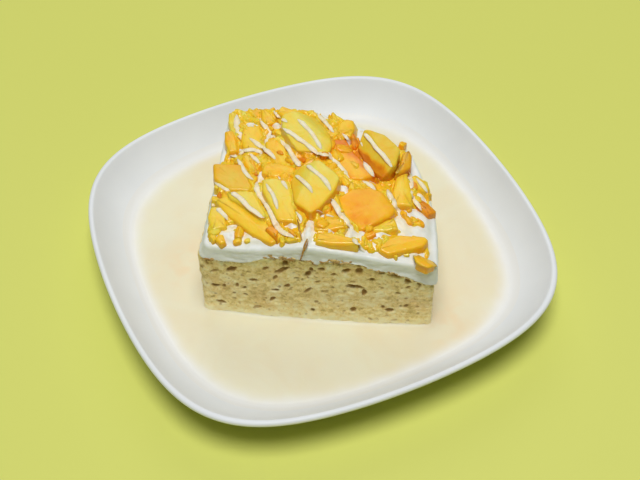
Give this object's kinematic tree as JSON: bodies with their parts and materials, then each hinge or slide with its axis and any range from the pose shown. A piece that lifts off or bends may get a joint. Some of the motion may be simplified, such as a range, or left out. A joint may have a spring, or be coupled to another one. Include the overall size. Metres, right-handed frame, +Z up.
{
  "type": "milk cake",
  "caption": "Square of milk-soaked sponge cake topped with whipped cream and cut mango, standing in a shallow pool of milk on a soft-square white plate.",
  "frame": {"origin": "middle of the plate's foot, on the surface that it stands on", "axes": "+Z up, X and Y along the plate's sides; the cake's cut front face looks to -Y, turned 30 degrees towards -X"},
  "size_m": [0.19, 0.19, 0.0615],
  "materials": {
    "porcelain": "gloss",
    "milk": "gloss",
    "sponge": "matte",
    "cream": "satin",
    "mango": "gloss",
    "mango_pale": "gloss"
  },
  "bodies": {
    "root": {"plate": "porcelain", "milk": "milk", "sponge": "sponge", "cream": "cream", "mango_back": "mango_pale", "mango_back_edge": "mango", "mango_back_left": "mango", "mango_back_right": "mango", "mango_behind": "mango", "mango_between": "mango", "mango_centre": "mango_pale", "mango_corner": "mango", "mango_edge": "mango", "mango_flat": "mango", "mango_front_a": "mango", "mango_front_b": "mango", "mango_front_left": "mango", "mango_front_right": "mango", "mango_left": "mango", "mango_left_b": "mango", "mango_left_c": "mango", "mango_left_d": "mango_pale", "mango_low": "mango", "mango_middle": "mango_pale", "mango_pale_left": "mango_pale", "mango_right": "mango", "mango_ring": "mango", "mango_side": "mango", "mango_side_left": "mango", "mango_side_right": "mango", "mango_slice": "mango", "mango_tall": "mango_pale"}
  },
  "joints": []
}
